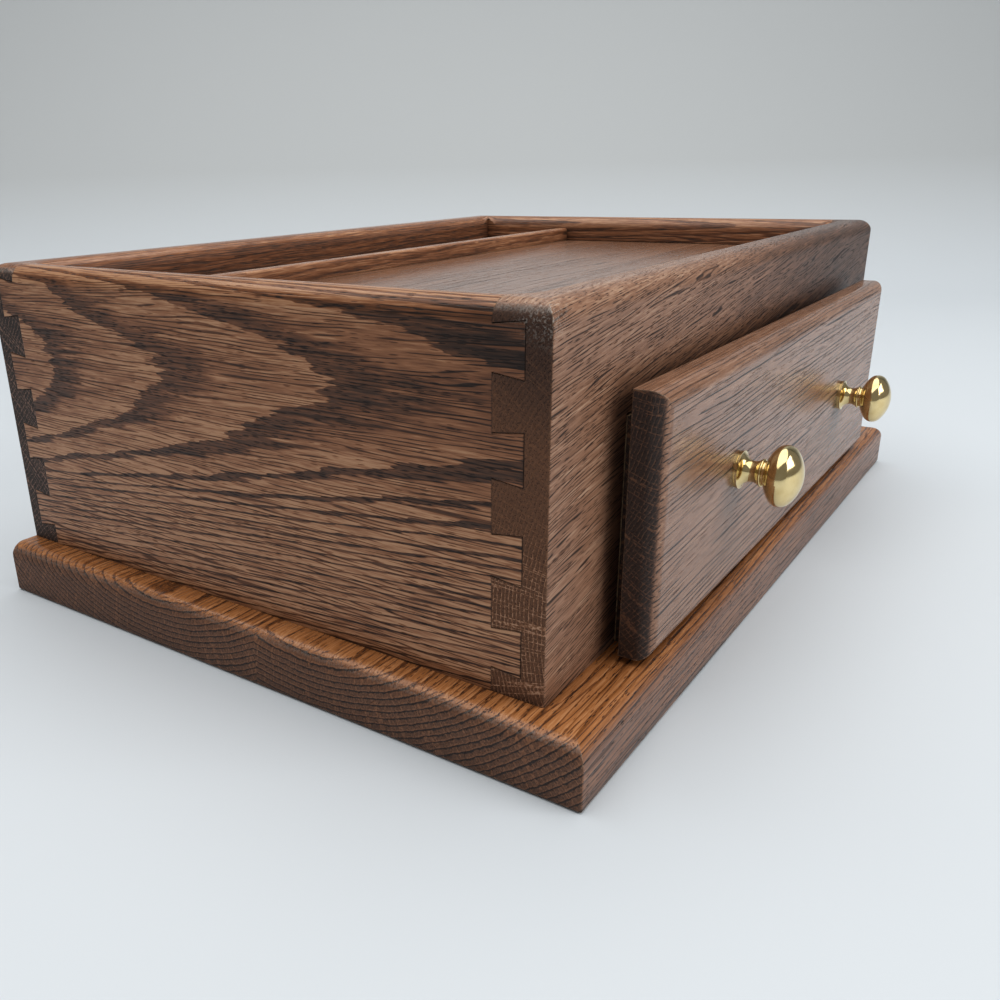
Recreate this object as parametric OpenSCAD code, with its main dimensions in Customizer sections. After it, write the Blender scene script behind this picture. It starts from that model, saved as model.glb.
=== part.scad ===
// Valet box: a dovetailed case on a moulded base board, with an open tray in its
// top and one overlay drawer under the tray. Millimetres, +Z up, drawer towards -Y.
// The origin is the middle of the base board's underside.

/* [Case] */
// Width of the case over the two sides
case_w = 342; // [280:1:420]
// Depth of the case, front face to back face
case_d = 239; // [190:1:300]
// Height of the case above the base board
case_h = 109.5; // [100:0.5:130]
// Thickness of the two side boards
side_t = 12.7; // [12.2:0.1:16]
// Thickness of the front board
front_t = 17; // [15:0.1:22]
// Thickness of the back board
back_t = 15.5; // [13.5:0.1:22]
// Radius of the round-over on the case's top edges, outside and inside
top_round = 6; // [3:0.1:6]
// Radius of the router bearing, kept in the inside corners of the round-over
bearing_r = 6.3; // [4:0.1:10]
// Radius that eases the upright corners of the case and of the base
edge_ease = 0.7; // [0.3:0.1:1.5]

/* [Dovetails] */
// Distance from one tail's centre to the next
tail_pitch = 27.8; // [20:0.1:34]
// Height of the lowest tail's centre above the case's bottom edge
tail_first = 14; // [10:0.1:18]
// Width of a tail at its end
tail_w = 14.4; // [10:0.1:17]
// Length of a tail
tail_len = 9.4; // [6:0.1:11]
// Slope of a tail's cheeks, in degrees
tail_angle = 7.5; // [4:0.5:14]
// Glue line between a tail and its socket
glue_gap = 0.18; // [0.05:0.01:0.3]

/* [Base board] */
// Thickness of the base board
base_t = 20; // [12:0.5:25]
// Overhang of the base at each side
base_side = 11.7; // [7:0.1:20]
// Overhang of the base at the front
base_front = 18; // [8:0.1:30]
// Radius of the round-over on the base's top edges
base_round = 6; // [2:0.1:8]
// Chamfer that eases the base's bottom edges
base_ease = 0.8; // [0.2:0.1:2]

/* [Tray] */
// Depth of the tray below the case's top edge
tray_depth = 13.2; // [9:0.1:16]
// Thickness of the tray floor
tray_t = 6; // [4:0.1:7]
// Depth of the groove that holds the tray floor
groove_d = 5; // [3:0.1:6]
// Play of a panel in its groove
groove_gap = 0.15; // [0.05:0.01:0.4]
// Distance from the back board to the divider's back face
divider_y = 49.8; // [30:0.1:90]
// Thickness of the divider
divider_t = 6.4; // [4:0.1:10]
// Height of the divider above the tray floor
divider_h = 7; // [4:0.1:8]
// Radius on the divider's top edges
divider_round = 1.5; // [0.5:0.1:1.8]

/* [Drawer opening] */
// Width of the front board left at each side of the drawer opening
stile_w = 45; // [36:0.5:70]
// Height of the drawer opening above the base board
open_h = 73; // [60:0.5:76]
// Play at each side of the drawer
drawer_play = 0.9; // [0.5:0.1:2]
// Play above the drawer
drawer_head = 0.9; // [0.5:0.1:2]
// Running gap between the drawer and the base board
drawer_run = 0.2; // [0.1:0.05:0.5]
// Space left behind the closed drawer
drawer_rear = 4; // [2:0.5:20]
// How far the drawer stands open
drawer_ajar = 6; // [1:0.1:12]
// Width of each drawer guide
guide_w = 14; // [8:0.5:22]
// Height of each drawer guide
guide_h = 16; // [8:0.5:40]
// Width of each batten that carries the tray floor and keeps the drawer level
batten_w = 24; // [14:0.5:40]

/* [Drawer] */
// Overlap of the drawer's face past the opening, at each side
face_lap = 10.6; // [5:0.1:16]
// Overlap of the drawer's face above the opening
face_lap_top = 10; // [4:0.1:16]
// Gap between the drawer's face and the base board
face_lift = 2.2; // [1:0.1:4]
// Thickness of the drawer's face
face_t = 10; // [8:0.1:16]
// Radius of the round-over on the face's front edges
face_round = 5; // [2:0.1:7]
// Thickness of the drawer box's inner front
inner_front_t = 12; // [9:0.5:16]
// Part of the inner front left in front of the sides' rebates
front_lip = 6; // [4:0.5:8]
// Thickness of the drawer's sides
drawer_side_t = 9.5; // [7:0.5:12]
// Thickness of the drawer's back
drawer_back_t = 9.5; // [7:0.5:12]
// Depth of the housings that hold the drawer's back
housing_d = 3.5; // [2:0.5:5]
// Distance from the sides' rear ends to the drawer's back
back_inset = 10; // [5:0.5:20]
// Thickness of the drawer's bottom
bottom_t = 4; // [3:0.1:6]
// Height of the drawer's bottom above the sides' lower edges
bottom_lift = 7; // [5:0.5:12]
// Depth of the grooves that hold the drawer's bottom
bottom_groove = 4.5; // [3:0.1:5.5]

/* [Knobs] */
// Distance of each knob from the drawer's centre line
knob_x = 70; // [50:0.5:95]
// Height of the left knob above the face's middle, drilled by hand a little too high
left_knob_rise = 1.4; // [-3:0.1:3]
// Height of the right knob above the face's middle, drilled by hand a little too low
right_knob_rise = -2.1; // [-3:0.1:3]
// Diameter of a knob's head
knob_d = 20.3; // [17:0.1:26]
// Projection of a knob from the drawer's face
knob_len = 20.9; // [19.5:0.1:23]
// Distance from the drawer's face to the back of the head
knob_head_at = 8.6; // [7.5:0.1:9.6]
// Radius of the head's rim
knob_rim_r = 3.9; // [3:0.1:4.4]
// Diameter of a knob's foot
knob_foot_d = 12.7; // [10.5:0.1:14]
// Least diameter of a knob's neck
knob_neck_d = 7; // [6.6:0.1:8.4]

/* [Fasteners] */
// Diameter of the knob's machine screws
knob_screw_d = 4; // [3:0.1:5]
// Head diameter of the knob's screws
knob_head_d = 8; // [6.5:0.1:9]
// Head height of the knob's screws
knob_head_t = 2.4; // [1.8:0.1:3]
// Depth of the screw's hole in a knob
knob_hole = 9; // [6:0.5:12]
// Length of the hole left free past the screw's end
knob_hole_spare = 1; // [0.5:0.1:2]
// Diameter of the wood screws
wood_screw_d = 4; // [3:0.1:4.5]
// Head diameter of the wood screws
wood_head_d = 8; // [6:0.1:9]
// Bite of the wood screws in the case's lower edges
case_bite = 20; // [12:1:28]
// Bite of the wood screws in the drawer's face
face_bite = 6; // [4:0.5:7.5]
// Radial play of a screw in its hole
screw_gap = 0.1; // [0.05:0.01:0.3]
// Depth of a wood screw's head below the face that it is sunk in
head_sink = 0.6; // [0.2:0.1:1.5]
// Distance of the outer base screws from the case's inside faces, along a side
side_screw_inset = 28; // [20:1:60]
// Distance of the outer base screws from the case's inside faces, along the back
back_screw_inset = 40; // [25:1:80]
// Distance of the face screws from the drawer's inside faces
face_screw_x_inset = 18; // [10:1:30]
// Distance of the face screws from the drawer's bottom panel and upper edge
face_screw_z_inset = 14; // [10:1:20]

/* [Hidden] */
$fn = 64;
OAK = "#6b4a35";
OAK_DARK = "#54392a";
OAK_WARM = "#7d5335";
BARE_WOOD = "#a98a62";
BRASS = "#c9a44c";
STEEL = "#8d9196";
// Overshoot of a cutting tool past the face that it cuts
over = 1;
// Width and depth of the slot in a screw's head, and width of a wood screw's tip
slot_w = 1;
slot_d = 1.2;
tip_d = 0.6;
// Steps on a knob's foot, from the drawer's face, and the bead under its head
disc_top = 0.7;
flange_base = 0.95;
flange_top = 1.6;
foot_step = 0.2;
neck_shift = 0.6;
bead_r = 0.55;
bead_sink = 0.1;

// The base and the case's faces
base_w = case_w + 2 * base_side;
base_d = case_d + base_front;
case_y0 = base_front - base_d / 2;
case_y1 = case_y0 + case_d;
case_top = base_t + case_h;
inner_w = case_w - 2 * side_t;
inner_y0 = case_y0 + front_t;
inner_y1 = case_y1 - back_t;
inner_d = inner_y1 - inner_y0;
inner_mid_y = (inner_y0 + inner_y1) / 2;
open_w = case_w - 2 * stile_w;

// Tails that fit in the height, and their width at the shoulder
tail_count = floor((case_h - top_round - tail_first - tail_w / 2 + top_round / 2) / tail_pitch) + 1;
tail_root = tail_w - 2 * tail_len * tan(tail_angle);

// The tray
tray_z = case_top - tray_depth;
tray_under = tray_z - tray_t;
divider_back = inner_y1 - divider_y;

// The drawer, stored as far open as drawer_ajar
open_top = base_t + open_h;
face_y1 = case_y0 - drawer_ajar;
face_y0 = face_y1 - face_t;
face_w = open_w + 2 * face_lap;
face_z0 = base_t + face_lift;
face_z1 = open_top + face_lap_top;
drawer_w = open_w - 2 * drawer_play;
drawer_y1 = face_y1 + case_d - back_t - drawer_rear;
drawer_z0 = base_t + drawer_run;
drawer_z1 = open_top - drawer_head;
drawer_side_y0 = face_y1 + front_lip;
drawer_back_y1 = drawer_y1 - back_inset;
bottom_z0 = drawer_z0 + bottom_lift;
bottom_z1 = bottom_z0 + bottom_t;
drawer_inner_w = drawer_w - 2 * drawer_side_t;
inner_front_y1 = face_y1 + inner_front_t;

// The knobs and the screws
face_mid_z = (face_z0 + face_z1) / 2;
knob_places = [
    [-knob_x, face_mid_z + left_knob_rise],
    [knob_x, face_mid_z + right_knob_rise]];
wood_head_t = (wood_head_d - wood_screw_d) / 2;
face_screw_x = drawer_inner_w / 2 - face_screw_x_inset;
side_screw_y = inner_d / 2 - side_screw_inset;
back_screw_x = inner_w / 2 - back_screw_inset;
stile_screw_x = (open_w + inner_w) / 4;

// Places of the screws that hold the case on its base
base_screw_places = concat(
    [for (s = [-1, 1], k = [-1, 0, 1])
        [s * (case_w - side_t) / 2, inner_mid_y + k * side_screw_y]],
    [for (k = [-1, 0, 1]) [k * back_screw_x, case_y1 - back_t / 2]],
    [for (s = [-1, 1]) [s * stile_screw_x, case_y0 + front_t / 2]]);

// Places of the screws that hold the drawer's face, as x and z
face_screw_places = [
    for (s = [-1, 1], z = [bottom_z1 + face_screw_z_inset, drawer_z1 - face_screw_z_inset])
        [s * face_screw_x, z]];

// Block from its low corner to its high corner
module block(low, high) {
    translate(low) cube(high - low);
}

// Section of a board from 0 to len and 0 to h, with rounded top corners where a radius is given
module round_top_section(len, h, r_start, r_end) {
    difference() {
        square([len, h]);
        if (r_start > 0) corner_waste(0, h, r_start, 0);
        if (r_end > 0) corner_waste(len, h, r_end, 90);
    }
}

// Waste of a round-over at a corner: turn 0 is a start corner and turn 90 an end corner
module corner_waste(x, y, r, turn) {
    step = turn == 0 ? r : -r;
    difference() {
        translate([min(x, x + step) - (turn == 0 ? over : 0), y - r]) square([r + over, r + over]);
        translate([x + step, y - r]) circle(r);
    }
}

// Extrudes a section drawn in x and z along y, from y0 over a length
module along_y(y0, len) {
    translate([0, y0 + len, 0]) rotate([90, 0, 0]) linear_extrude(len) children();
}

// Extrudes a section drawn in y and z along x, centred
module along_x(len) {
    translate([-len / 2, 0, 0]) rotate([90, 0, 90]) linear_extrude(len) children();
}

// Plan of a board with eased corners, centred
module eased_plan(w, d) {
    square([w - 2 * edge_ease, d], center = true);
    square([w, d - 2 * edge_ease], center = true);
    for (s = [-1, 1], t = [-1, 1])
        translate([s * (w / 2 - edge_ease), t * (d / 2 - edge_ease)]) circle(edge_ease);
}

// Outer form of the case, with its rounded top edges meeting as mitres
module case_form() {
    intersection() {
        translate([0, (case_y0 + case_y1) / 2, base_t]) linear_extrude(case_h) eased_plan(case_w, case_d);
        along_x(case_w) translate([case_y0, base_t])
            round_top_section(case_d, case_h, top_round, top_round);
        along_y(case_y0, case_d) translate([-case_w / 2, base_t])
            round_top_section(case_w, case_h, top_round, top_round);
    }
}

// Section of the router bit, out from the bearing's face or from the bit's axis
module bit_section(inside) {
    difference() {
        square([inside + top_round, top_round + over]);
        translate([inside + top_round, 0]) circle(top_round);
    }
}

// The path of the router round the tray's inner edge
module tray_round_over() {
    run_x = inner_w - 2 * bearing_r;
    run_y = inner_d - 2 * bearing_r;
    translate([0, inner_mid_y, case_top - top_round]) {
        for (s = [-1, 1]) {
            along_x(run_x) scale([s, 1]) translate([inner_d / 2 - bearing_r, 0]) bit_section(bearing_r);
            along_y(-run_y / 2, run_y) scale([s, 1]) translate([inner_w / 2 - bearing_r, 0])
                bit_section(bearing_r);
            for (t = [-1, 1]) translate([s * run_x / 2, t * run_y / 2, 0])
                rotate_extrude() bit_section(bearing_r);
        }
    }
}

// One row of tails that leave a shoulder towards -Y or +Y, grown by a gap for the sockets
module tail_row(shoulder_y, way, x0, x1, gap) {
    for (k = [0 : tail_count - 1])
        translate([x0, shoulder_y, base_t + tail_first + k * tail_pitch])
            rotate([90, 0, 90]) linear_extrude(x1 - x0)
                polygon([[-way * over * sign(gap), -tail_root / 2 - gap],
                    [way * (tail_len + gap), -tail_w / 2 - gap],
                    [way * (tail_len + gap), tail_w / 2 + gap],
                    [-way * over * sign(gap), tail_root / 2 + gap]]);
}

// Sockets for the tails of both sides, in the board at a shoulder
module sockets(shoulder_y, way) {
    inner_x = case_w / 2 - side_t - glue_gap;
    tail_row(shoulder_y, way, inner_x, case_w / 2 + over, glue_gap);
    tail_row(shoulder_y, way, -case_w / 2 - over, -inner_x, glue_gap);
}

// Groove for the tray floor in the front and back boards
module tray_groove_x(y0, y1) {
    block([-inner_w / 2, y0, tray_under], [inner_w / 2, y1, tray_z + groove_gap]);
}

// Hole for a wood screw that enters a case board from below
module base_pilots() {
    for (p = base_screw_places)
        translate([p[0], p[1], base_t - over])
            cylinder(d = wood_screw_d + 2 * screw_gap, h = case_bite + screw_gap + over);
}

// Wood screw with its head's top at the origin, pointing to +Z
module wood_screw(len) {
    difference() {
        union() {
            cylinder(d1 = wood_head_d, d2 = wood_screw_d, h = wood_head_t);
            cylinder(d = wood_screw_d, h = len - wood_screw_d);
            translate([0, 0, len - wood_screw_d]) cylinder(d1 = wood_screw_d, d2 = tip_d, h = wood_screw_d);
        }
        translate([-wood_head_d / 2, -slot_w / 2, -over]) cube([wood_head_d, slot_w, slot_d + over]);
    }
}

// Hole and countersink for a wood screw, from the face at the origin towards +Z
module wood_screw_hole(depth) {
    bore_d = wood_screw_d + 2 * screw_gap;
    head_d = wood_head_d + 2 * screw_gap;
    translate([0, 0, -over]) cylinder(d = bore_d, h = depth + 2 * over);
    translate([0, 0, -over]) cylinder(d = head_d, h = head_sink + over);
    translate([0, 0, head_sink]) cylinder(d1 = head_d, d2 = bore_d, h = wood_head_t);
}

module base_board() {
    color(OAK_WARM) difference() {
        intersection() {
            linear_extrude(base_t) eased_plan(base_w, base_d);
            along_x(base_w) translate([-base_d / 2, 0])
                base_section(base_d, base_round, 0);
            along_y(-base_d / 2, base_d) translate([-base_w / 2, 0])
                base_section(base_w, base_round, base_round);
        }
        for (p = base_screw_places) translate([p[0], p[1], 0]) wood_screw_hole(base_t);
    }
}

// Section of the base board with its bottom edges eased
module base_section(len, r_start, r_end) {
    difference() {
        round_top_section(len, base_t, r_start, r_end);
        for (x = [0, len]) translate([x, 0]) rotate(45) square(base_ease * sqrt(2), center = true);
    }
}

module front_board() {
    color(OAK) difference() {
        intersection() {
            case_form();
            block([-case_w / 2, case_y0, base_t], [case_w / 2, inner_y0, case_top]);
        }
        sockets(inner_y0, -1);
        tray_groove_x(inner_y0 - groove_d, inner_y0 + over);
        tray_round_over();
        block([-open_w / 2, case_y0 - over, base_t - over], [open_w / 2, inner_y0 + over, open_top]);
        base_pilots();
    }
}

module back_board() {
    color(OAK) difference() {
        intersection() {
            case_form();
            block([-case_w / 2, inner_y1, base_t], [case_w / 2, case_y1, case_top]);
        }
        sockets(inner_y1, 1);
        tray_groove_x(inner_y1 - over, inner_y1 + groove_d);
        tray_round_over();
        base_pilots();
    }
}

// Right side board with its tails, groove and rounded top
module side_board() {
    x0 = case_w / 2 - side_t;
    difference() {
        intersection() {
            case_form();
            union() {
                block([x0, inner_y0, base_t], [case_w / 2, inner_y1, case_top]);
                tail_row(inner_y0, -1, x0, case_w / 2, 0);
                tail_row(inner_y1, 1, x0, case_w / 2, 0);
            }
        }
        block([x0 - over, inner_y0, tray_under], [x0 + groove_d, inner_y1, tray_z + groove_gap]);
        tray_round_over();
        base_pilots();
    }
}

module left_side() {
    color(OAK) mirror([1, 0, 0]) side_board();
}

module right_side() {
    color(OAK) side_board();
}

module tray_floor() {
    x_in = inner_w / 2 - groove_gap;
    x_out = inner_w / 2 + groove_d - groove_gap;
    color(OAK_DARK) union() {
        block([-x_out, inner_y0 + groove_gap, tray_under], [x_out, inner_y1 - groove_gap, tray_z]);
        block([-x_in, inner_y0 - groove_d + groove_gap, tray_under],
            [x_in, inner_y1 + groove_d - groove_gap, tray_z]);
    }
}

module tray_divider() {
    len = inner_w - 2 * groove_gap;
    color(OAK) along_x(len) translate([divider_back - divider_t, tray_z])
        round_top_section(divider_t, divider_h, divider_round, divider_round);
}

// Right batten, under the tray floor and over the drawer's side
module batten() {
    x0 = open_w / 2 - batten_w / 2;
    block([x0, inner_y0, open_top], [x0 + batten_w, inner_y1, tray_under]);
}

module left_batten() {
    color(BARE_WOOD) mirror([1, 0, 0]) batten();
}

module right_batten() {
    color(BARE_WOOD) batten();
}

// Right guide, beside the drawer on the base board
module guide() {
    block([open_w / 2, inner_y0, base_t], [open_w / 2 + guide_w, inner_y1, base_t + guide_h]);
}

module left_guide() {
    color(BARE_WOOD) mirror([1, 0, 0]) guide();
}

module right_guide() {
    color(BARE_WOOD) guide();
}

// Solid of the drawer's face, its four front edges rounded over
module face_form() {
    translate([0, face_y1, face_z0]) rotate([90, 0, 0]) intersection() {
        along_x(face_w) round_top_section(face_z1 - face_z0, face_t, face_round, face_round);
        along_y(0, face_z1 - face_z0) translate([-face_w / 2, 0])
            round_top_section(face_w, face_t, face_round, face_round);
    }
}

// Holes for the knobs' screws, through the face and the inner front
module knob_bores() {
    for (p = knob_places) translate([p[0], face_y0 - over, p[1]]) rotate([-90, 0, 0])
        cylinder(d = knob_screw_d + 2 * screw_gap, h = face_t + inner_front_t + 2 * over);
}

// Turns what points along +Z to point along -Y, from the inner front's inside face
module at_face_screws() {
    for (p = face_screw_places) translate([p[0], inner_front_y1, p[1]]) rotate([90, 0, 0]) children();
}

module drawer_face() {
    color(OAK) difference() {
        face_form();
        knob_bores();
        at_face_screws() cylinder(d = wood_screw_d + 2 * screw_gap, h = inner_front_t + face_bite + screw_gap);
    }
}

module drawer_inner_front() {
    rebate_x = drawer_w / 2 - drawer_side_t;
    color(BARE_WOOD) difference() {
        block([-drawer_w / 2, face_y1, drawer_z0], [drawer_w / 2, inner_front_y1, drawer_z1]);
        for (s = [0, 1]) mirror([s, 0, 0]) block([rebate_x, drawer_side_y0, drawer_z0 - over],
            [drawer_w / 2 + over, inner_front_y1 + over, drawer_z1 + over]);
        block([-rebate_x - over, inner_front_y1 - bottom_groove, bottom_z0],
            [rebate_x + over, inner_front_y1 + over, bottom_z1 + groove_gap]);
        knob_bores();
        at_face_screws() wood_screw_hole(inner_front_t);
    }
}

// Right side of the drawer box, with the bottom's groove and the back's housing
module drawer_side() {
    x0 = drawer_w / 2 - drawer_side_t;
    difference() {
        block([x0, drawer_side_y0, drawer_z0], [drawer_w / 2, drawer_y1, drawer_z1]);
        block([x0 - over, drawer_side_y0 - over, bottom_z0],
            [x0 + bottom_groove, drawer_y1 + over, bottom_z1 + groove_gap]);
        block([x0 - over, drawer_back_y1 - drawer_back_t - groove_gap, bottom_z1],
            [x0 + housing_d, drawer_back_y1 + groove_gap, drawer_z1 + over]);
    }
}

module drawer_left_side() {
    color(BARE_WOOD) mirror([1, 0, 0]) drawer_side();
}

module drawer_right_side() {
    color(BARE_WOOD) drawer_side();
}

module drawer_back() {
    x = drawer_inner_w / 2 + housing_d - groove_gap;
    color(BARE_WOOD) block([-x, drawer_back_y1 - drawer_back_t, bottom_z1], [x, drawer_back_y1, drawer_z1]);
}

module drawer_bottom() {
    x = drawer_inner_w / 2 + bottom_groove - groove_gap;
    y0 = inner_front_y1 - bottom_groove + groove_gap;
    rebate_x = drawer_inner_w / 2 - groove_gap;
    color(BARE_WOOD) union() {
        block([-x, inner_front_y1 + groove_gap, bottom_z0], [x, drawer_y1, bottom_z1]);
        block([-rebate_x, y0, bottom_z0], [rebate_x, drawer_y1, bottom_z1]);
    }
}

// Half section of a knob: radius across, distance from the drawer's face upwards
module knob_section() {
    knob_foot_section();
    knob_head_section();
}

// The foot's disc and flange, the neck that flares both ways and the bead under the head
module knob_foot_section() {
    foot_r = knob_foot_d / 2;
    neck_r = knob_neck_d / 2;
    shoulder_r = foot_r - foot_step;
    neck_end = knob_head_at - 2 * bead_r;
    neck_mid = (flange_top + neck_end) / 2 + neck_shift;
    flare = shoulder_r - neck_r;
    neck_arc = (flare * flare + pow(neck_mid - flange_top, 2)) / (2 * flare);
    bead_x = neck_r + neck_arc - sqrt(neck_arc * neck_arc - pow(neck_end - neck_mid, 2)) - foot_step;
    square([foot_r - foot_step, disc_top]);
    square([foot_r - 2 * foot_step, flange_top]);
    translate([0, flange_base]) square([foot_r, flange_top - flange_base]);
    difference() {
        translate([0, flange_base]) square([shoulder_r, neck_end - flange_base]);
        translate([neck_r + neck_arc, neck_mid]) circle(neck_arc);
    }
    core_base = neck_end - bead_sink;
    translate([0, core_base]) square([bead_x, (knob_head_at + knob_len) / 2 - core_base]);
    translate([bead_x, knob_head_at - bead_r + bead_sink]) circle(bead_r);
}

// The flattened head: a rim of one radius that runs into a larger dome at the front and at the back
module knob_head_section() {
    rim_x = knob_d / 2 - knob_rim_r;
    half = (knob_len - knob_head_at) / 2;
    translate([rim_x, knob_head_at + half]) circle(knob_rim_r);
    translate([0, knob_head_at + half]) for (side = [0, 1]) mirror([0, side]) knob_dome(rim_x, half);
}

// Dome of a knob's head above the rim's plane, tangent to the rim
module knob_dome(rim_x, half) {
    drop = half - knob_rim_r;
    below = (rim_x * rim_x - drop * drop) / (2 * drop);
    intersection() {
        translate([0, -below]) circle(half + below);
        polygon([[0, 0], [rim_x, 0], [2 * rim_x, below], [2 * rim_x, 2 * half], [0, 2 * half]]);
    }
}

// One turned knob at a place on the drawer's face, drilled for its screw
module knob(place) {
    translate([place[0], face_y0, place[1]]) rotate([90, 0, 0]) difference() {
        rotate_extrude() intersection() {
            knob_section();
            square([knob_d, 2 * knob_len]);
        }
        translate([0, 0, -over]) cylinder(d = knob_screw_d + 2 * screw_gap, h = knob_hole + over);
    }
}

module left_knob() {
    color(BRASS) knob(knob_places[0]);
}

module right_knob() {
    color(BRASS) knob(knob_places[1]);
}

// Pan-headed machine screws, from inside the drawer into the knobs
module knob_screws() {
    len = inner_front_t + face_t + knob_hole - knob_hole_spare;
    color(STEEL) for (p = knob_places)
        translate([p[0], inner_front_y1, p[1]]) rotate([90, 0, 0]) difference() {
            union() {
                cylinder(d = knob_screw_d, h = len);
                translate([0, 0, -knob_head_t]) cylinder(d = knob_head_d, h = knob_head_t);
            }
            translate([-knob_head_d / 2, -slot_w / 2, -knob_head_t - over])
                cube([knob_head_d, slot_w, slot_d + over]);
        }
}

module face_screws() {
    color(STEEL) at_face_screws() translate([0, 0, head_sink])
        wood_screw(inner_front_t + face_bite - head_sink);
}

module base_screws() {
    color(STEEL) for (p = base_screw_places)
        translate([p[0], p[1], head_sink]) wood_screw(base_t + case_bite - head_sink);
}

base_board();
front_board();
back_board();
left_side();
right_side();
tray_floor();
tray_divider();
left_batten();
right_batten();
left_guide();
right_guide();
drawer_face();
drawer_inner_front();
drawer_left_side();
drawer_right_side();
drawer_back();
drawer_bottom();
left_knob();
right_knob();
knob_screws();
face_screws();
base_screws();
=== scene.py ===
"""Looks of the valet box: stained oak, plain inner wood, brass knobs and steel screws."""
import math
from types import SimpleNamespace

import bpy
from mathutils import Matrix, Vector


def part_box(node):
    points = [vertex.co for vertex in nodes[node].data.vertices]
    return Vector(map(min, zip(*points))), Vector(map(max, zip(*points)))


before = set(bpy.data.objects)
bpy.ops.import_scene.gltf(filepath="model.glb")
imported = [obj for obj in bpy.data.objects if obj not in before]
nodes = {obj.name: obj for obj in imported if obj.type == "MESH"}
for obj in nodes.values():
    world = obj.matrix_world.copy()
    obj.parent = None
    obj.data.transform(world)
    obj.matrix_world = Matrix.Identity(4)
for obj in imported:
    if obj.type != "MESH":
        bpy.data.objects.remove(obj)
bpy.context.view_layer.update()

# Camera, from the box's own edges in the photograph
CAMERA_PLACE = (-0.3661, -0.2140, 0.1595)
CAMERA_FORWARD = (0.75669, 0.54897, -0.35504)
CAMERA_RIGHT = (0.58021, -0.81416, -0.02227)
CAMERA_LENS = 33.34
CAMERA_SHIFT = (0.0731, 0.0189)
SENSOR_WIDTH = 36.0
NEAREST_SEEN = 0.01

# Faces of the case, from the frame
CASE_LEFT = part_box("left_side")[0].x
CASE_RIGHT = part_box("right_side")[1].x
CASE_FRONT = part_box("front_board")[0].y
CASE_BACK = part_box("back_board")[1].y
CASE_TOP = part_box("left_side")[1].z

# Ways along, across and into a board
GRAIN_AXES = {
    "X": ((1, 0, 0), (0, 1, 0), (0, 0, 1)),
    "X upright": ((1, 0, 0), (0, 0, 1), (0, 1, 0)),
    "Y": ((0, 1, 0), (0, 0, 1), (1, 0, 0)),
}

# Sizes of the wood's figure, of its wear and of the painted shade in its nooks, in metres
PORE_WIDTH = 0.00045
RAY_PITCH = 0.0015
EDGE_RADIUS = 0.0006
PAINTED_SHADE_REACH = 0.012
WOOD_RELIEF = 0.00012
BRASS_RELIEF = 0.00005

# Noise cells per metre, along, across and into a board
LUMPS = (9.0, 75.0, 75.0)
TEETH = (50.0, 400.0, 400.0)
HAIRS = (130.0, 1600.0, 1600.0)
FEATHERS = (38.0, 640.0, 640.0)
WANDERS = (10.0, 120.0, 120.0)
FIBRES = (110.0, 1700.0, 1700.0)
STREAKS = (16.0, 340.0, 340.0)

# Noise cells per metre, across the grain lines, and along the board and outward for the rays
RUN_BREAKS = 700.0
RAY_LENGTHS = 45.0
RAY_DEPTHS = 22.0

# Noise cells per metre along X, Y and Z; the turning marks run round the knobs' axes
END_BREAKS = (1100.0, 1100.0, 1100.0)
RUB_SPECKS = (520.0, 520.0, 520.0)
RIM_SPECKS = (1900.0, 1900.0, 1900.0)
CHIP_SPECKS = (1500.0, 1500.0, 1500.0)
TURNING_MARKS = (120.0, 9000.0, 120.0)
TARNISH_SPOTS = (300.0, 300.0, 300.0)
PLATING_GRAIN = (900.0, 900.0, 900.0)

# Stains, as (shade, colour) stops from dark to pale
WALNUT_STAIN = (
    (0.0, (0.012, 0.005, 0.003)), (0.25, (0.050, 0.022, 0.012)), (0.55, (0.155, 0.059, 0.0265)),
    (0.80, (0.29, 0.124, 0.058)), (1.0, (0.47, 0.25, 0.135)),
)
BASE_STAIN = (
    (0.0, (0.016, 0.006, 0.003)), (0.25, (0.070, 0.025, 0.010)), (0.55, (0.230, 0.082, 0.025)),
    (0.80, (0.39, 0.155, 0.052)), (1.0, (0.56, 0.27, 0.12)),
)
FRONT_STAIN = (
    (0.0, (0.013, 0.006, 0.004)), (0.25, (0.052, 0.025, 0.016)), (0.55, (0.157, 0.073, 0.040)),
    (0.80, (0.288, 0.148, 0.089)), (1.0, (0.455, 0.285, 0.190)),
)
PLAIN_WOOD = (
    (0.0, (0.10, 0.055, 0.028)), (0.25, (0.22, 0.135, 0.072)), (0.55, (0.38, 0.25, 0.14)),
    (0.80, (0.50, 0.35, 0.21)), (1.0, (0.62, 0.46, 0.30)),
)

# Colours of worn wood, of the rims' painted highlight and of the metals
WORN = (0.42, 0.27, 0.17, 1.0)
RIM_GLINT_AND_BARE = (0.47, 0.43, 0.39, 1.0)
CHIPPED = (0.66, 0.60, 0.54, 1.0)
JOINT_LINE = (0.022, 0.013, 0.009, 1.0)
BRIGHT_BRASS = (0.78, 0.62, 0.32, 1.0)
DULL_BRASS = (0.66, 0.50, 0.23, 1.0)
DARK_ZINC = (0.42, 0.43, 0.44, 1.0)
PALE_ZINC = (0.62, 0.62, 0.60, 1.0)

# Colours of the floor sheet by height in metres, darker up the backdrop as painted shade, and of the light
SHEET_WITH_PAINTED_SHADE = ((0.0, (0.67, 0.735, 0.80)), (0.16, (0.485, 0.52, 0.545)), (0.8, (0.405, 0.43, 0.445)))
LAMP_COLOUR = (1.0, 0.97, 0.93)
ROOM_COLOUR = (1.0, 0.98, 0.95, 1.0)
ROOM_LIGHT = 0.22


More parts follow.
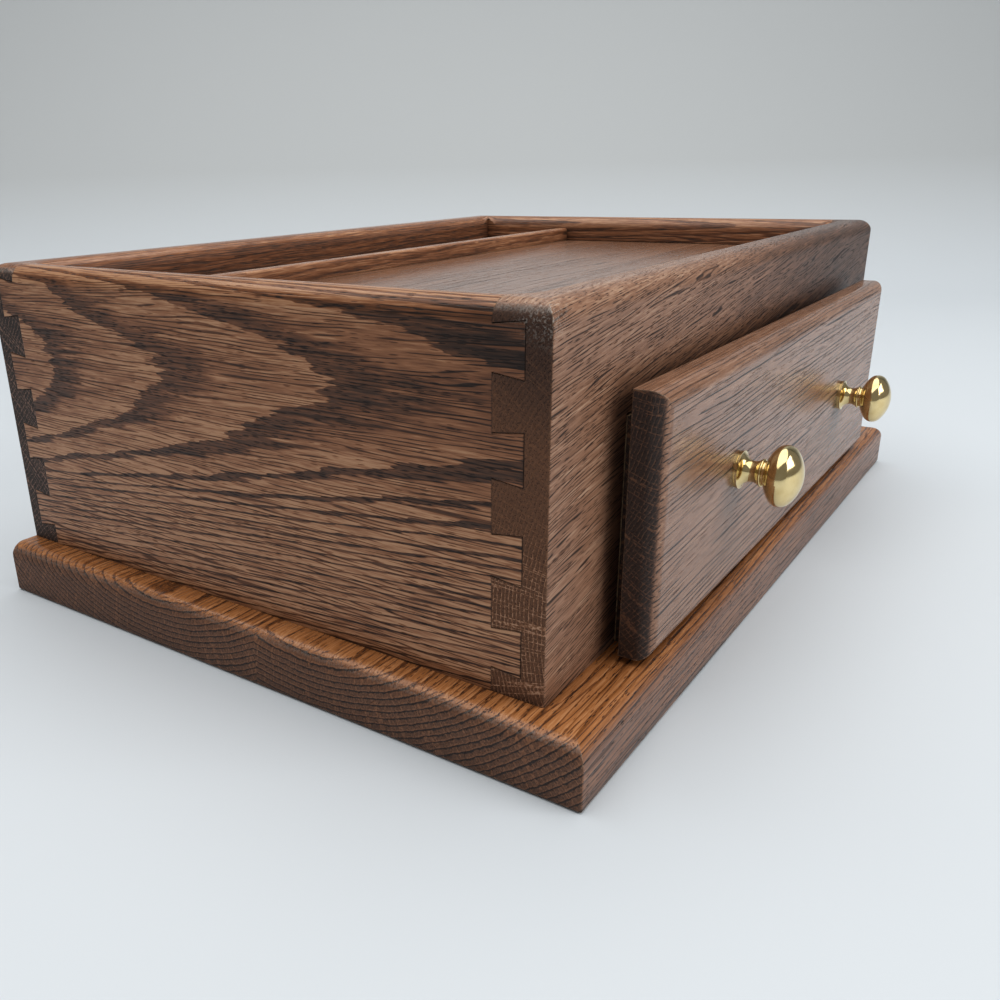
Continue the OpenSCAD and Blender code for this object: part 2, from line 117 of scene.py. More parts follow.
class Graph:
    """Adds nodes to a shader tree and links them, so that a formula reads as a few short lines."""

    def __init__(self, tree):
        self.tree = tree

    def node(self, kind, **settings):
        made = self.tree.nodes.new("ShaderNode" + kind)
        for name, value in settings.items():
            setattr(made, name, value)
        return made

    def feed(self, socket, value):
        if isinstance(value, bpy.types.NodeSocket):
            self.tree.links.new(value, socket)
        else:
            socket.default_value = value

    def math(self, operation, *values):
        made = self.node("Math", operation=operation)
        for socket, value in zip(made.inputs, values):
            self.feed(socket, value)
        return made.outputs[0]

    def add(self, a, b):
        return self.math("ADD", a, b)

    def sub(self, a, b):
        return self.math("SUBTRACT", a, b)

    def mul(self, a, b):
        return self.math("MULTIPLY", a, b)

    def div(self, a, b):
        return self.math("DIVIDE", a, b)

    def most(self, a, b):
        return self.math("MAXIMUM", a, b)

    def least(self, a, b):
        return self.math("MINIMUM", a, b)

    def size(self, value):
        return self.math("ABSOLUTE", value)

    def centred(self, value):
        """A 0 to 1 value moved to lie around 0."""
        return self.sub(value, 0.5)

    def rest(self, value):
        """What a 0 to 1 value leaves of 1."""
        return self.sub(1.0, value)

    def vector_math(self, operation, a, b):
        made = self.node("VectorMath", operation=operation)
        self.feed(made.inputs[0], a)
        self.feed(made.inputs[1], b)
        return made.outputs

    def scaled(self, vector, factors):
        return self.vector_math("MULTIPLY", vector, factors)[0]

    def dot(self, a, b):
        return self.vector_math("DOT_PRODUCT", a, b)["Value"]

    def distance(self, a, b):
        return self.vector_math("DISTANCE", a, b)["Value"]

    def split(self, vector):
        made = self.node("SeparateXYZ")
        self.feed(made.inputs[0], vector)
        return made.outputs[0], made.outputs[1], made.outputs[2]

    def join(self, x, y, z):
        made = self.node("CombineXYZ")
        for socket, value in zip(made.inputs, (x, y, z)):
            self.feed(socket, value)
        return made.outputs[0]

    def noise(self, vector, detail=2.0, roughness=0.5):
        made = self.node("TexNoise")
        self.feed(made.inputs["Vector"], vector)
        made.inputs["Scale"].default_value = 1.0
        made.inputs["Detail"].default_value = detail
        made.inputs["Roughness"].default_value = roughness
        return made.outputs[0]

    def smooth(self, value, low, high):
        """0 below low, 1 above high, with an eased step between them; low may be the higher one."""
        made = self.node("MapRange", interpolation_type="SMOOTHSTEP")
        self.feed(made.inputs["Value"], value)
        self.feed(made.inputs["From Min"], low)
        self.feed(made.inputs["From Max"], high)
        return made.outputs[0]

    def mix(self, factor, a, b):
        made = self.node("Mix", data_type="RGBA")
        self.feed(made.inputs[0], factor)
        self.feed(made.inputs[6], a)
        self.feed(made.inputs[7], b)
        return made.outputs[2]

    def ramp(self, value, stops):
        """Colour of a 0 to 1 value, through (place, colour) stops."""
        made = self.node("ValToRGB")
        marks = made.color_ramp.elements
        while len(marks) < len(stops):
            marks.new(0.5)
        for mark, (place, colour) in zip(marks, stops):
            mark.position = place
            mark.color = (*colour, 1.0)
        self.feed(made.inputs[0], value)
        return made.outputs[0]

    def bump(self, height, strength, distance):
        made = self.node("Bump")
        made.inputs["Strength"].default_value = strength
        made.inputs["Distance"].default_value = distance
        self.feed(made.inputs["Height"], height)
        return made


def new_material(name):
    """A material with an empty shader, and the graph to fill it with."""
    material = bpy.data.materials.new(name)
    material.use_nodes = True
    material.node_tree.nodes.clear()
    g = Graph(material.node_tree)
    output = g.node("OutputMaterial")
    shader = g.node("BsdfPrincipled")
    g.feed(output.inputs["Surface"], shader.outputs[0])
    return material, g, shader


FIGURE_SETTINGS = ("Growth", "Round", "Ring", "Ragged", "Early share", "Crisp", "Pore length", "Line pitch",
                   "Line width", "Line length", "Line wander")
FIGURE_PARTS = ("Early", "Late", "Late line", "Pore", "Ray", "Line", "Fibre", "Streak")


def oak_figure():
    """Group that draws ring-porous wood. Point is along, across and into the board; Growth counts outward
    from the tree's centre, and Round runs around it."""
    tree = bpy.data.node_groups.new("oak_figure", "ShaderNodeTree")
    tree.interface.new_socket("Point", in_out="INPUT", socket_type="NodeSocketVector")
    for name in FIGURE_SETTINGS:
        tree.interface.new_socket(name, in_out="INPUT", socket_type="NodeSocketFloat")
    for name in FIGURE_PARTS:
        tree.interface.new_socket(name, in_out="OUTPUT", socket_type="NodeSocketFloat")
    given = tree.nodes.new("NodeGroupInput").outputs
    result = tree.nodes.new("NodeGroupOutput").inputs
    g = Graph(tree)
    early, late, late_line = year_rings(g, given)
    parts = {
        "Early": early,
        "Late": late,
        "Late line": late_line,
        "Pore": pore_dashes(g, given, early),
        "Ray": ray_lines(g, given),
        "Line": grain_lines(g, given),
        "Fibre": g.noise(g.scaled(given["Point"], FIBRES), 2.0, 0.6),
        "Streak": g.noise(g.scaled(given["Point"], STREAKS), 2.0),
    }
    for name, value in parts.items():
        g.feed(result[name], value)
    return tree


def year_rings(g, given):
    """Early wood, late wood and the late wood's own line, with ragged edges. Some years are fuller."""
    point = given["Point"]
    lumps = g.mul(g.centred(g.noise(g.scaled(point, LUMPS), 1.0)), 5.0)
    teeth = g.mul(g.centred(g.noise(g.scaled(point, TEETH), 2.0)), 3.0)
    hairs = g.centred(g.noise(g.scaled(point, HAIRS), 1.0))
    uneven = g.add(lumps, g.add(teeth, hairs))
    phase = g.div(g.add(given["Growth"], g.mul(uneven, given["Ragged"])), given["Ring"])
    part = g.math("FRACT", phase)
    year = g.node("TexWhiteNoise", noise_dimensions="1D")
    g.feed(year.inputs["W"], g.math("FLOOR", phase))
    feather = g.centred(g.noise(g.scaled(point, FEATHERS), 2.0))
    fullness = g.add(g.add(0.8, g.mul(year.outputs["Value"], 0.4)), g.mul(feather, 2.4))
    width = g.mul(given["Early share"], fullness)
    solid = g.mul(width, g.add(0.35, g.mul(given["Crisp"], 0.4)))
    early = g.most(g.smooth(part, width, solid), g.smooth(part, 0.98, 1.0))
    late = g.mul(g.smooth(part, 0.55, 0.95), g.smooth(part, 1.0, 0.98))
    late_line = g.mul(g.smooth(part, 0.66, 0.86), g.smooth(part, 1.0, 0.95))
    return early, late, late_line


def pore_dashes(g, given, early):
    """Open pores cut lengthwise into short dashes, most of them in the early wood."""
    along, across, depth = g.split(given["Point"])
    pores = g.node("TexVoronoi")
    run = g.div(along, given["Pore length"])
    cell = g.join(run, g.mul(across, 1 / PORE_WIDTH), g.mul(depth, 1 / PORE_WIDTH))
    g.feed(pores.inputs["Vector"], cell)
    pores.inputs["Scale"].default_value = 1.0
    dash = g.smooth(pores.outputs["Distance"], 0.46, 0.22)
    chance = g.split(pores.outputs["Color"])[0]
    wanted = g.add(0.16, g.mul(early, 0.54))
    return g.mul(dash, g.smooth(chance, wanted, g.sub(wanted, 0.05)))


def ray_lines(g, given):
    """Thin rays that run outward from the tree's centre."""
    along = g.split(given["Point"])[0]
    round_ways = g.mul(given["Round"], 1 / RAY_PITCH)
    cell = g.join(round_ways, g.mul(along, RAY_LENGTHS), g.mul(given["Growth"], RAY_DEPTHS))
    return g.smooth(g.size(g.centred(g.noise(cell, 0.0))), 0.055, 0.012)


def grain_lines(g, given):
    """Dark lines at a steady pitch along the grain. They wander, swell and break off."""
    along, across, depth = g.split(given["Point"])
    wander = g.noise(g.scaled(given["Point"], WANDERS), 2.0)
    wavy = g.add(g.add(across, depth), g.mul(wander, given["Line wander"]))
    row = g.math("FRACT", g.div(wavy, given["Line pitch"]))
    off_row = g.mul(g.size(g.centred(row)), given["Line pitch"])
    run_along = g.div(g.mul(along, 0.7), given["Line length"])
    runs = g.noise(g.join(run_along, g.mul(across, RUN_BREAKS), g.mul(depth, RUN_BREAKS)), 1.0)
    thick = g.mul(given["Line width"], g.add(0.4, g.mul(g.smooth(runs, 0.38, 0.62), 0.6)))
    return g.mul(g.smooth(off_row, g.mul(thick, 0.75), g.mul(thick, 0.35)), g.smooth(runs, 0.40, 0.48))


OAK_FIGURE = oak_figure()


def log_growth(pith, tilt=(0.0, 0.0), reach=0.1, seam=None):
    """Rings round a pith that lies across the grain at a point and slopes; past a seam a second log begins.
    Like flame_growth it gives the growth, the way round and how far the rings crowd together."""
    def build(g, along, across, depth):
        first, second = pith
        if seam:
            past = g.math("GREATER_THAN", across, seam[0])
            first = g.add(pith[0], g.mul(past, seam[1] - pith[0]))
            second = g.add(pith[1], g.mul(past, seam[2] - pith[1]))
        a = g.sub(g.sub(across, first), g.mul(along, tilt[0]))
        b = g.sub(g.sub(depth, second), g.mul(along, tilt[1]))
        radius = g.math("SQRT", g.add(g.mul(a, a), g.mul(b, b)))
        return radius, g.mul(g.math("ARCTAN2", b, a), reach), 0.0
    return build


def flame_growth(heading, centre, tip, face, lean=0.036, bend=62.0, flare=20000.0, straight=0.055, rise=4.0,
                 into=28.0, spread=-2.0, outer=0.100, narrow=1.7):
    """Nested pointed arches of a flat-sawn board. heading is the way they point along the grain. Below their
    leaning centre line they bend, then run straight and crowd together, and above it they rise almost
    straight. Rings past outer are narrow."""
    grade = 2 * bend * straight + 4 * flare * straight ** 3

    def build(g, along, across, depth):
        ahead = g.mul(along, heading)
        off = g.sub(across, g.add(centre, g.mul(ahead, lean)))
        below = g.most(g.mul(off, -1.0), 0.0)
        above = g.most(off, 0.0)
        near = g.least(below, straight)
        square = g.mul(near, near)
        arch = g.add(g.mul(square, bend), g.mul(g.mul(square, square), flare))
        arch = g.add(g.add(arch, g.mul(g.sub(below, near), grade)), g.mul(above, rise))
        run = g.sub(ahead, tip)
        run = g.add(run, g.mul(g.mul(run, run), spread))
        grown = g.add(g.add(run, arch), g.mul(g.sub(depth, face), into))
        past = g.most(g.sub(grown, outer), 0.0)
        grown = g.add(g.least(grown, outer), g.mul(past, narrow))
        return grown, across, g.smooth(below, 0.012, 0.042)
    return build


# Stained oak, where a board doesn't say otherwise. Lengths are in metres. Shades run from 0, the stain's
# darkest colour, to 1, its palest.
OAK_LOOK = dict(
    ring=0.003,          # growth in a year
    ragged=0.0006,       # how far a ring's edge strays
    early_share=0.45,    # share of a ring that is early wood
    stain=WALNUT_STAIN,
    level=0.76,          # shade of the plain wood
    contrast=1.0,        # strength of fibres and streaks
    early_dark=0.40,     # how much darker early wood is
    line_dark=0.40,      # how much darker the grain lines are
    line_pitch=0.00125,
    line_width=0.0004,
    line_length=0.027,
    line_wander=0.010,
    lean=(0.0, 0.0),     # slope of lines and pores, across and into the board
    pore_length=0.007,
    pore_dark=0.26,      # how much darker pores are
    end_level=0.32,      # shade of end grain
    end_lines=0.42,      # how much paler rays and late wood are in end grain
    end_rows=0.0,        # how much darker early wood is in end grain
    calm_above=None,     # height above which the left end's pale lines fade
    top_calm=0.0,        # how far grain lines fade on upward faces
    edge_dark=0.0,       # how much darker the faces along the edges are
    far_dark=0.0,        # how much darker the board is towards its +X end
    grey=0.0,            # how far end grain, and edge faces where edge_dark is set, lose colour, or gain some below 0; the greying is partly painted sheen
    rim_pale=0.0,        # how much paler upward faces are painted: a painted highlight from the overhead light
    rim_worn=0.35,       # how far the rounded rims of end grain are painted pale: partly rubbed finish, partly a painted highlight
    handled=0.0,         # how much hands have darkened it round the knocked corner
    jointed=False,       # whether edges inside the case's faces are dark joint lines
    rough=0.33,
    ior=1.45,
)


def oak(name, grain, growth, **changes):
    """Stained oak with its grain along an axis and its rings from a growth field."""
    look = SimpleNamespace(**{**OAK_LOOK, **changes})
    material, g, shader = new_material(name)
    board = board_place(g, GRAIN_AXES[grain])
    figure = board_figure(g, board, growth, look)
    corner = knocked_corner(g, board.spot)
    soft_edge = g.node("Bevel", samples=4)
    soft_edge.inputs["Radius"].default_value = EDGE_RADIUS
    soft_normal = soft_edge.outputs[0]

    long_shade = g.mul(long_grain(g, board, figure, look), g.rest(board.ends))
    end_shade = g.mul(end_grain(g, board, figure, look), board.ends)
    colour = stain_colour(g, board, g.add(long_shade, end_shade), corner, look)
    g.feed(shader.inputs["Base Color"], worn_colour(g, board, colour, corner, soft_normal, look))
    g.feed(shader.inputs["Roughness"], oak_roughness(g, board, figure, look))
    g.feed(shader.inputs["Normal"], oak_relief(g, figure, soft_normal))
    shader.inputs["IOR"].default_value = look.ior
    return material


def board_place(g, axes):
    """Where a point lies on its board, and which way its face looks."""
    place = g.node("TexCoord")
    spot = place.outputs["Object"]
    normal = place.outputs["Normal"]
    along, across, depth = (g.dot(spot, axis) for axis in axes)
    facing = g.size(g.dot(normal, axes[0]))
    return SimpleNamespace(
        spot=spot, normal=normal, along=along, across=across, depth=depth, facing=facing,
        ends=g.smooth(facing, 0.55, 0.80),
        edge_face=g.smooth(g.size(g.dot(normal, axes[1])), 0.5, 0.95),
        upward=g.smooth(g.split(normal)[2], 0.2, 0.8),
    )


def board_figure(g, board, growth, look):
    """The parts of the board's figure, and how far its rings crowd together."""
    grown, around, crowd = growth(g, board.along, board.across, board.depth)
    across = g.sub(board.across, g.mul(board.along, look.lean[0]))
    depth = g.sub(board.depth, g.mul(board.along, look.lean[1]))
    settings = {
        "Point": g.join(board.along, across, depth),
        "Growth": grown,
        "Round": around,
        "Ring": look.ring,
        "Ragged": look.ragged,
        "Early share": g.mul(g.rest(g.mul(crowd, 0.50)), look.early_share),
        "Crisp": crowd,
        "Pore length": look.pore_length,
        "Line pitch": look.line_pitch,
        "Line width": look.line_width,
        "Line length": look.line_length,
        "Line wander": look.line_wander,
    }
    drawn = g.node("Group", node_tree=OAK_FIGURE)
    for name, value in settings.items():
        g.feed(drawn.inputs[name], value)
    parts = {name.lower().replace(" ", "_"): drawn.outputs[name] for name in FIGURE_PARTS}
    return SimpleNamespace(crowd=crowd, **parts)


def long_grain(g, board, figure, look):
    """Shade of the faces along the grain."""
    fibres = g.mul(g.centred(figure.fibre), 0.8 * look.contrast)
    streaks = g.mul(g.centred(figure.streak), 0.5 * look.contrast)
    calm = g.mul(board.upward, look.top_calm)
    if look.edge_dark:
        calm = g.most(calm, g.mul(board.edge_face, 0.5))
    line_dark = g.sub(look.line_dark, g.mul(figure.early, 0.5 * look.line_dark))
    lines = g.mul(figure.line, g.mul(line_dark, g.rest(calm)))
    early_dark = g.mul(g.add(1.0, g.mul(figure.crowd, 0.35)), look.early_dark)
    pale_late = g.mul(g.add(figure.late, figure.crowd), 0.06)
    ground = g.add(g.sub(look.level, g.mul(figure.early, early_dark)), pale_late)
    if look.far_dark:
        ground = g.sub(ground, g.mul(g.smooth(board.along, -0.12, 0.12), look.far_dark))
    marks = g.add(lines, g.mul(figure.pore, look.pore_dark))
    return g.sub(g.add(ground, g.add(fibres, streaks)), marks)


def end_grain(g, board, figure, look):
    """Shade of the faces across the grain, with broken pale lines where rays and late wood are cut."""
    broken = g.smooth(g.noise(g.scaled(board.spot, END_BREAKS), 1.0), 0.38, 0.60)
    pale = g.most(g.mul(figure.ray, 0.9), g.mul(figure.late_line, 0.75))
    pale = g.mul(pale, g.add(0.3, g.mul(broken, 0.8)))
    if look.calm_above:
        high = g.smooth(g.split(board.spot)[2], look.calm_above - 0.012, look.calm_above + 0.012)
        leftmost = g.smooth(board.along, 0.1, -0.1)
        pale = g.mul(pale, g.rest(g.mul(g.mul(high, leftmost), 0.80)))
    shade = g.add(g.add(look.end_level, g.mul(pale, look.end_lines)), g.mul(g.centred(figure.fibre), 0.35))
    return g.sub(shade, g.add(g.mul(figure.pore, 0.20), g.mul(figure.early, look.end_rows)))


def stain_colour(g, board, shade, corner, look):
    """Colour of a shade in the board's stain, with painted shade in the nooks and gaps and dark where hands
    took hold.
    """
    # Ambient occlusion paints shade into the colour in nooks, gaps and near the floor.
    nook = g.node("AmbientOcclusion", samples=4)
    nook.inputs["Distance"].default_value = PAINTED_SHADE_REACH
    painted_nook_shade = g.mul(g.smooth(nook.outputs["AO"], 0.75, 0.10), 0.40)
    leftward = g.smooth(g.split(board.normal)[0], -0.5, -0.8)
    handled = g.mul(leftward, g.add(g.mul(corner.wide, look.handled), g.mul(corner.close, 0.22)))
    # Upward faces are painted paler here, a painted highlight from the overhead light.
    shade = g.sub(g.add(shade, g.mul(board.upward, look.rim_pale)), g.add(painted_nook_shade, handled))
    if look.edge_dark:
        shade = g.sub(shade, g.mul(board.edge_face, look.edge_dark))
    colour = g.ramp(shade, look.stain)
    # Greying of the edge faces and end grain is partly painted sheen, the grey of their reflection.
    if look.grey:
        cut = g.most(board.edge_face, board.ends) if look.edge_dark else board.ends
        muted = g.node("HueSaturation")
        g.feed(muted.inputs["Saturation"], g.rest(g.mul(cut, look.grey)))
        g.feed(muted.inputs["Color"], colour)
        colour = muted.outputs[0]
    return colour


def worn_colour(g, board, colour, corner, soft_normal, look):
    """The stain's colour, with joint lines, thin finish on sharp edges, pale rims and chips. The pale rims
    are partly rubbed finish and partly a painted highlight.
    """
    specks = g.noise(g.scaled(board.spot, RUB_SPECKS), 3.0, 0.7)
    sharp = g.smooth(g.dot(soft_normal, board.normal), 0.995, 0.90)
    rubbed = g.mul(sharp, g.add(0.25, g.mul(g.smooth(specks, 0.42, 0.62), 0.55)))
    if look.jointed:
        outer = case_edges(g, board.spot)
        colour = g.mix(g.mul(g.rest(outer), g.mul(sharp, 0.55)), colour, JOINT_LINE)
        rubbed = g.mul(rubbed, outer)
    colour = g.mix(rubbed, colour, WORN)
    # Pale specks on end-grain rims: partly rubbed finish, partly a painted highlight.
    colour = g.mix(g.mul(worn_and_glinting_rim(g, board), look.rim_worn), colour, RIM_GLINT_AND_BARE)
    return g.mix(g.mul(corner.chips, g.add(0.25, sharp)), colour, CHIPPED)


def worn_and_glinting_rim(g, board):
    """Specks along the rounded top rims of end grain: partly finish rubbed off, partly a painted highlight.
    """
    fine = g.noise(g.scaled(board.spot, RIM_SPECKS), 2.0, 0.7)
    upward = g.smooth(g.split(board.normal)[2], 0.25, 0.6)
    rounded = g.mul(g.smooth(board.facing, 0.55, 0.66), g.smooth(board.facing, 0.90, 0.80))
    return g.mul(g.mul(upward, rounded), g.smooth(fine, 0.35, 0.65))


def case_edges(g, spot):
    """1 along the case's four upright corners and its top edge, 0 elsewhere."""
    far, near = 0.004, 0.002
    middle = (CASE_FRONT + CASE_BACK) / 2
    x, y, z = g.split(spot)
    beside = g.smooth(g.sub(CASE_RIGHT, g.size(x)), far, near)
    ahead = g.smooth(g.sub(CASE_BACK - middle, g.size(g.sub(y, middle))), far, near)
    return g.most(g.mul(beside, ahead), g.smooth(z, CASE_TOP - far, CASE_TOP - near))


def knocked_corner(g, spot):
    """The case's near top corner, which was handled and knocked most: a wide stain, a close one and chips."""
    away = g.distance(spot, (CASE_LEFT, CASE_FRONT, CASE_TOP))
    specks = g.noise(g.scaled(spot, CHIP_SPECKS), 2.0, 0.7)
    return SimpleNamespace(
        wide=g.smooth(away, 0.090, 0.015),
        close=g.smooth(away, 0.040, 0.010),
        chips=g.mul(g.smooth(specks, 0.52, 0.60), g.smooth(away, 0.014, 0.003)),
    )


def oak_roughness(g, board, figure, look):
    """Duller in lines, pores and end grain, and polished on top."""
    dull_ends = g.mul(g.mul(board.ends, g.rest(board.upward)), 0.32)
    dull = g.add(g.mul(figure.line, 0.15), g.add(g.mul(figure.pore, 0.22), dull_ends))
    return g.mul(g.add(look.rough, dull), g.rest(g.mul(board.upward, 0.35)))


def oak_relief(g, figure, soft_normal):
    """Raised fibres, with pores, lines and early wood sunk below them."""
    sunk = g.add(g.mul(figure.pore, 0.8), g.add(g.mul(figure.early, 0.1), g.mul(figure.line, 0.5)))
    bump = g.bump(g.sub(g.mul(figure.fibre, 0.25), sunk), 0.5, WOOD_RELIEF)
    g.feed(bump.inputs["Normal"], soft_normal)
    return bump.outputs[0]


def brass():
    """Polished brass with faint turning marks."""
    material, g, shader = new_material("polished_brass")
    spot = g.node("TexCoord").outputs["Object"]
    marks = g.noise(g.scaled(spot, TURNING_MARKS), 2.0)
    tarnish = g.smooth(g.noise(g.scaled(spot, TARNISH_SPOTS), 3.0), 0.35, 0.8)
    g.feed(shader.inputs["Base Color"], g.mix(tarnish, BRIGHT_BRASS, DULL_BRASS))
    shader.inputs["Metallic"].default_value = 1.0
    g.feed(shader.inputs["Roughness"], g.add(0.07, g.mul(marks, 0.08)))
    g.feed(shader.inputs["Normal"], g.bump(marks, 0.08, BRASS_RELIEF).outputs[0])
    return material


def steel():
    """Zinc-plated steel of the screws."""
    material, g, shader = new_material("plated_steel")
    spot = g.node("TexCoord").outputs["Object"]
    grain = g.noise(g.scaled(spot, PLATING_GRAIN), 3.0)
    g.feed(shader.inputs["Base Color"], g.mix(grain, DARK_ZINC, PALE_ZINC))
    shader.inputs["Metallic"].default_value = 1.0
    g.feed(shader.inputs["Roughness"], g.add(0.25, g.mul(grain, 0.2)))
    return material


FLAME = dict(ring=0.0806, ragged=0.010, early_share=0.54)
PLAIN = dict(stain=PLAIN_WOOD, contrast=0.7, early_dark=0.25, line_dark=0.15, end_level=0.3, rough=0.5)


def case_materials():
    """Oak of the case's boards and of the tray."""
    left_flame = flame_growth(heading=-1.0, centre=CASE_TOP - 0.0244, tip=0.0367, face=CASE_LEFT)
    right_flame = flame_growth(
        heading=1.0, centre=CASE_TOP - 0.060, tip=0.020, face=CASE_RIGHT, into=-28.0, rise=14.0)
    front_log = log_growth(pith=(-0.190, 0.069), tilt=(0.0, 0.14), reach=0.090)
    back_log = log_growth(pith=(0.24, 0.29), tilt=(0.03, 0.01), reach=0.235)
    base_logs = log_growth(pith=(-0.030, 0.116), tilt=(0.0, 0.03), reach=0.115, seam=(-0.010, 0.041, 0.116))
    floor_log = log_growth(pith=(0.0, -0.06), tilt=(0.06, 0.0), reach=0.06)
    divider_log = log_growth(pith=(0.110, 0.080), tilt=(0.0, 0.03), reach=0.07)
    return {
        "left_side": oak(
            "side_oak_left", "Y", left_flame, **FLAME, level=0.825,
            line_dark=0.50, line_length=0.020, pore_length=0.0045, pore_dark=0.38,
            top_calm=0.5, rim_pale=0.18, handled=0.20, jointed=True, ior=1.33),
        "right_side": oak(
            "side_oak_right", "Y", right_flame, **FLAME, early_dark=0.30,
            top_calm=0.5, rim_pale=0.14, jointed=True),
        "front_board": oak(
            "front_oak", "X", front_log, ring=0.00125, ragged=0.0003,
            stain=FRONT_STAIN, level=0.775, contrast=0.8, early_dark=0.06,
            line_dark=0.62, line_pitch=0.0011, line_width=0.00032, line_length=0.007, lean=(0.0, 0.14),
            pore_length=0.004, pore_dark=0.46, end_level=0.415, end_lines=0.56, calm_above=0.066,
            top_calm=0.6, far_dark=0.42, grey=-0.06, rim_pale=0.08, rim_worn=0.20, jointed=True,
            rough=0.42, ior=1.36),
        "back_board": oak(
            "back_oak", "X upright", back_log, ring=0.0017, ragged=0.0005, level=0.58, early_dark=0.16,
            line_dark=0.30, end_level=0.07, end_lines=0.66, top_calm=0.5, grey=0.25, rim_pale=0.22,
            jointed=True),
        "base_board": oak(
            "base_oak", "X", base_logs, ring=0.0021, ragged=0.00025, early_share=0.30,
            stain=BASE_STAIN, level=0.80, contrast=0.8, early_dark=0.34,
            line_dark=0.42, line_pitch=0.0024, line_width=0.0005, line_length=0.010,
            pore_length=0.003, pore_dark=0.60, end_level=0.325, end_lines=0.22, end_rows=0.46,
            edge_dark=0.30, grey=0.10, rim_worn=0.16),
        "tray_floor": oak(
            "tray_oak", "X", floor_log, ring=0.004, early_share=0.3,
            stain=FRONT_STAIN, level=0.66, contrast=0.5, early_dark=0.08,
            line_dark=0.46, line_pitch=0.006, line_width=0.00055, line_length=0.06,
            pore_dark=0.12, rough=0.30, ior=1.7),
        "tray_divider": oak(
            "divider_oak", "X", divider_log, ring=0.0022, level=0.80, early_dark=0.2, line_dark=0.25,
            top_calm=0.5, rim_pale=0.12),
    }


def drawer_materials():
    """Oak of the drawer's face and of the board behind it."""
    face_log = log_growth(pith=(-0.016, 0.119), tilt=(0.02, 0.01), reach=0.110)
    inner_log = log_growth(pith=(0.0, 0.2), tilt=(0.03, 0.02), reach=0.2)
    return {
        "drawer_face": oak(
            "drawer_oak", "X", face_log, ring=0.00120, ragged=0.0003,
            stain=FRONT_STAIN, level=0.73, contrast=0.7, early_dark=0.06,
            line_dark=0.75, line_pitch=0.0018, line_width=0.00046, line_length=0.030, line_wander=0.006,
            lean=(0.0, 0.02), pore_length=0.010, pore_dark=0.24, end_level=0.05, end_lines=0.40,
            grey=-0.08, top_calm=0.5, rough=0.25),
        # Its lower level paints the board behind the drawer's face darker: painted shade in the gap.
        "drawer_inner_front": oak("inner_front_oak", "X", inner_log, level=0.45, jointed=True),
    }


def hidden_materials():
    """Plain oak of the inner pieces, each cut from another place in the log."""
    made = {}
    for k, node in enumerate(("left_batten", "right_batten", "left_guide", "right_guide")):
        growth = log_growth(pith=(0.30, 0.06 * k), reach=0.25)
        made[node] = oak("plain_" + node, "Y", growth, **PLAIN)
    for k, node in enumerate(("drawer_left_side", "drawer_right_side")):
        growth = flame_growth(heading=-1.0, centre=0.070, tip=0.03 * k, face=-0.12 + 0.24 * k)
        made[node] = oak("plain_" + node, "Y", growth, **FLAME, **PLAIN)
    for k, node in enumerate(("drawer_back", "drawer_bottom")):
        growth = log_growth(pith=(0.05, 0.25 + 0.1 * k), tilt=(0.03, 0.02), reach=0.25)
        made[node] = oak("plain_" + node, "X", growth, ragged=0.0007, **PLAIN)
    return made


def metal_materials():
    """Brass of the knobs and steel of the screws."""
    knobs = dict.fromkeys(("left_knob", "right_knob"), brass())
    screws = dict.fromkeys(("knob_screws", "face_screws", "base_screws"), steel())
    return {**knobs, **screws}


def dress():
    """Gives each node its material."""
    made = {**case_materials(), **drawer_materials(), **hidden_materials(), **metal_materials()}
    for node, material in made.items():
        mesh = nodes[node].data
        mesh.materials.clear()
        mesh.materials.append(material)


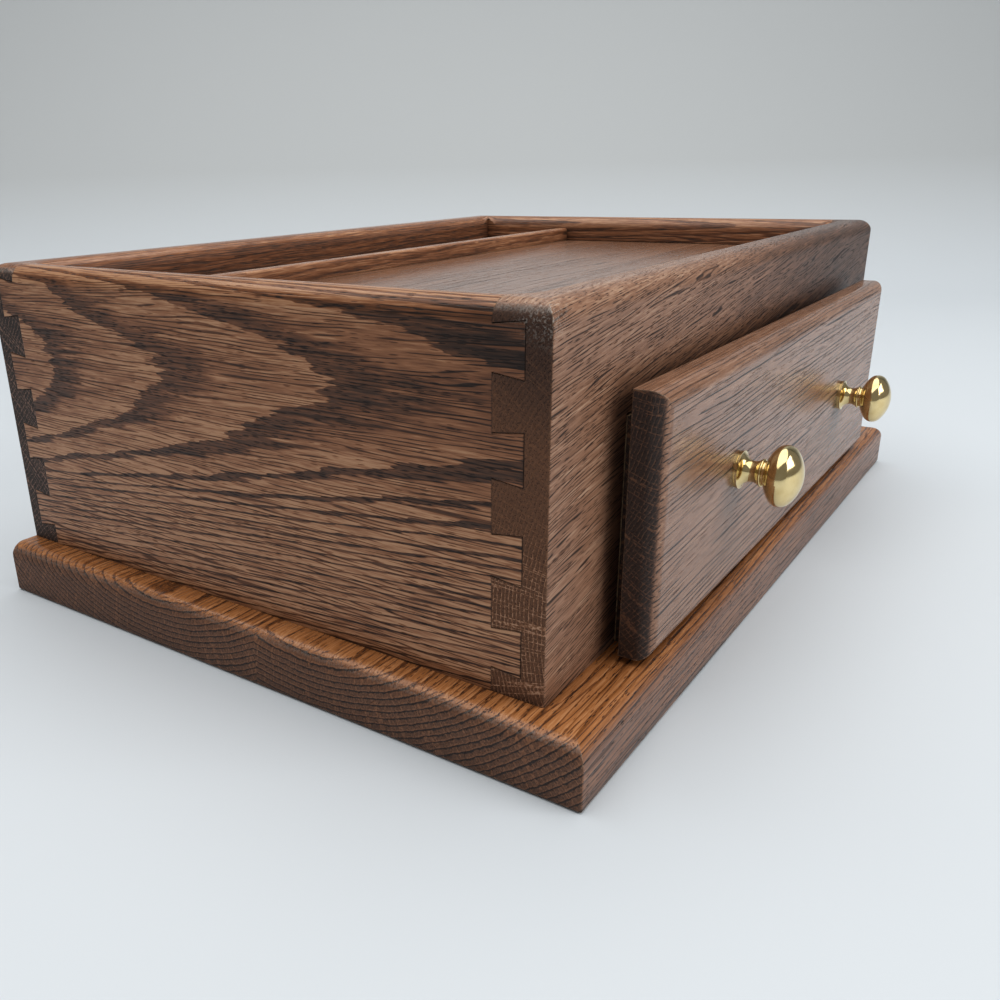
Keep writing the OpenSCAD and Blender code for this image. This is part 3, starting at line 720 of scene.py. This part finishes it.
def pale_sheet():
    """Pale floor that curves up into a backdrop behind the box; its colour darkens up the backdrop as painted
    shade.
    """
    material, g, shader = new_material("pale_sheet")
    height = g.split(g.node("TexCoord").outputs["Object"])[2]
    g.feed(shader.inputs["Base Color"], g.ramp(height, SHEET_WITH_PAINTED_SHADE))
    shader.inputs["Roughness"].default_value = 0.6
    near, far, high, half, bend, steps = -2.5, 1.3, 2.2, 3.0, 0.6, 24
    turns = [math.pi / 2 * k / steps for k in range(steps + 1)]
    arc = [(far - bend + bend * math.sin(t), bend - bend * math.cos(t)) for t in turns]
    profile = [(near, 0.0)] + arc + [(far, high)]
    toward = Vector((CAMERA_FORWARD[0], CAMERA_FORWARD[1], 0.0)).normalized()
    side = Vector((toward.y, -toward.x, 0.0))
    points = [toward * d + side * s + Vector((0.0, 0.0, h)) for d, h in profile for s in (-half, half)]
    faces = [(2 * k, 2 * k + 1, 2 * k + 3, 2 * k + 2) for k in range(len(profile) - 1)]
    mesh = bpy.data.meshes.new("pale_sheet")
    mesh.from_pydata(points, [], faces)
    mesh.shade_smooth()
    mesh.materials.append(material)
    sheet = bpy.data.objects.new("pale_sheet", mesh)
    bpy.context.scene.collection.objects.link(sheet)


def room_light():
    """Dim even light from all round."""
    world = bpy.data.worlds.new("room")
    bpy.context.scene.world = world
    world.use_nodes = True
    background = world.node_tree.nodes["Background"]
    background.inputs["Color"].default_value = ROOM_COLOUR
    background.inputs["Strength"].default_value = ROOM_LIGHT


def lamp(name, place, size, power):
    """Square soft lamp, turned towards the box."""
    target = Vector((0.0, 0.0, 0.05))
    data = bpy.data.lights.new(name, "AREA")
    data.shape = "SQUARE"
    data.size = size
    data.energy = power
    data.color = LAMP_COLOUR
    light = bpy.data.objects.new(name, data)
    light.location = place
    light.rotation_euler = (target - Vector(place)).to_track_quat("-Z", "Y").to_euler()
    bpy.context.scene.collection.objects.link(light)


def camera():
    """Camera at the photograph's viewing angle."""
    data = bpy.data.cameras.new("photo_view")
    data.lens = CAMERA_LENS
    data.sensor_width = SENSOR_WIDTH
    data.shift_x, data.shift_y = CAMERA_SHIFT
    data.clip_start = NEAREST_SEEN
    eye = bpy.data.objects.new("photo_view", data)
    forward = Vector(CAMERA_FORWARD).normalized()
    right = Vector(CAMERA_RIGHT).normalized()
    up = right.cross(forward)
    turn = Matrix((right, up, -forward)).transposed().to_4x4()
    eye.matrix_world = Matrix.Translation(CAMERA_PLACE) @ turn
    bpy.context.scene.collection.objects.link(eye)
    bpy.context.scene.camera = eye


dress()
pale_sheet()
room_light()
lamp("overhead", place=(-0.1, 0.1, 1.5), size=2.2, power=29.0)
lamp("front_window", place=(0.3, -1.5, 0.9), size=1.0, power=12.0)
camera()
bpy.context.scene.view_settings.view_transform = "Standard"
